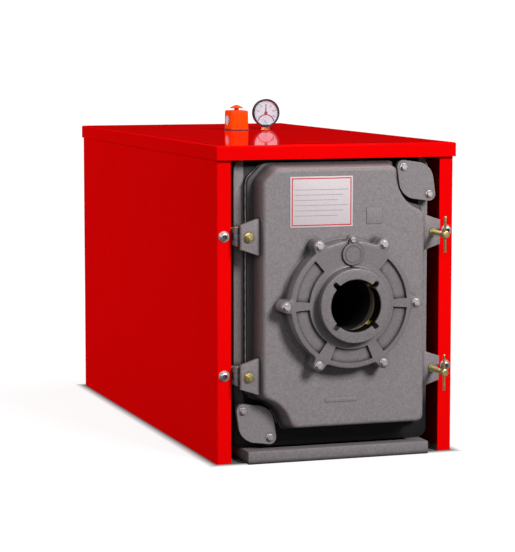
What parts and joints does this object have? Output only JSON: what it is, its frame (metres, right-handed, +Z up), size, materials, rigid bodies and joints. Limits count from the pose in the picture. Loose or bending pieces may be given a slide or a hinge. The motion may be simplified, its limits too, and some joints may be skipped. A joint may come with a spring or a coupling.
{
  "type": "cast-iron sectional hot-water boiler",
  "caption": "Floor-standing sectional boiler in a red sheet-steel jacket, with a hinged cast burner door, T-bar clamps, sight cover, gauge and flue outlet.",
  "frame": {"origin": "on the floor, under the middle of the whole boiler's box", "axes": "+Z up, -Y towards the burner door, +X to the right as seen from the front"},
  "size_m": [0.644, 1.575, 0.8872],
  "materials": {
    "red_paint": "smooth gloss powder coat",
    "cast_iron": "grey-painted sand-cast iron, fine grain",
    "base_paint": "grey paint on rolled steel",
    "plain_steel": "plain zinc-plated steel",
    "yellow_zinc": "yellow-passivated zinc on steel",
    "brass": "turned brass",
    "black_plastic": "dark rubber and plastic",
    "orange_plastic": "glossy orange plastic",
    "gauge_case": "black enamel",
    "dial_white": "printed white enamel",
    "clear_glass": "clear glass",
    "refractory": "pressed ceramic fibre board",
    "rope": "braided glass-fibre rope",
    "gasket": "woven yellow heat-proof cord"
  },
  "bodies": {
    "boiler": {"base_frame": "base_paint", "left_panel": "red_paint", "right_panel": "red_paint", "lid": "red_paint", "back_panel": "red_paint", "jacket_bolts": "plain_steel", "front_section": "cast_iron", "middle_section_1": "cast_iron", "middle_section_2": "cast_iron", "middle_section_3": "cast_iron", "middle_section_4": "cast_iron", "middle_section_5": "cast_iron", "middle_section_6": "cast_iron", "rear_section": "cast_iron", "rear_plate": "cast_iron", "port_covers": "cast_iron", "cover_bolts": "plain_steel", "flue_collar": "cast_iron", "flow_pipe": "cast_iron", "return_pipe": "cast_iron", "hinge_brackets": "cast_iron", "clamp_brackets": "cast_iron", "hinge_pins": "yellow_zinc", "thermostat_base": "black_plastic", "thermostat_housing": "orange_plastic", "thermostat_knob": "orange_plastic", "gauge_stem": "brass", "gauge_case": "gauge_case", "gauge_dial": "dial_white", "gauge_glass": "clear_glass"},
    "door": {"door": "cast_iron", "door_insulation": "refractory", "rope_seal": "rope", "burner_plate": "cast_iron", "burner_gasket": "gasket", "plate_bolts": "plain_steel", "sight_glass": "clear_glass", "sight_pivot": "plain_steel", "hinge_straps": "cast_iron", "hinge_bolts": "yellow_zinc"},
    "sight_cover": {"sight_cover": "cast_iron"},
    "upper_clamp": {"upper_clamp_screw": "yellow_zinc", "upper_clamp_bar": "yellow_zinc"},
    "lower_clamp": {"lower_clamp_screw": "yellow_zinc", "lower_clamp_bar": "yellow_zinc"}
  },
  "joints": [
    {"name": "door_swing", "type": "hinge", "parent": "boiler", "child": "door", "pos_m": [-0.268, -0.6615, 0.4], "axis": [0, 0, -1], "range_deg": [0, 100]},
    {"name": "sight_cover_swing", "type": "hinge", "parent": "door", "child": "sight_cover", "pos_m": [0, -0.761, 0.568], "axis": [0, 1, 0], "range_deg": [-80, 80]},
    {"name": "upper_clamp_turn", "type": "hinge", "parent": "door", "child": "upper_clamp", "pos_m": [0.247, -0.7655, 0.574], "axis": [0, -1, 0], "continuous": true},
    {"name": "lower_clamp_turn", "type": "hinge", "parent": "door", "child": "lower_clamp", "pos_m": [0.247, -0.7655, 0.224], "axis": [0, -1, 0], "continuous": true}
  ]
}
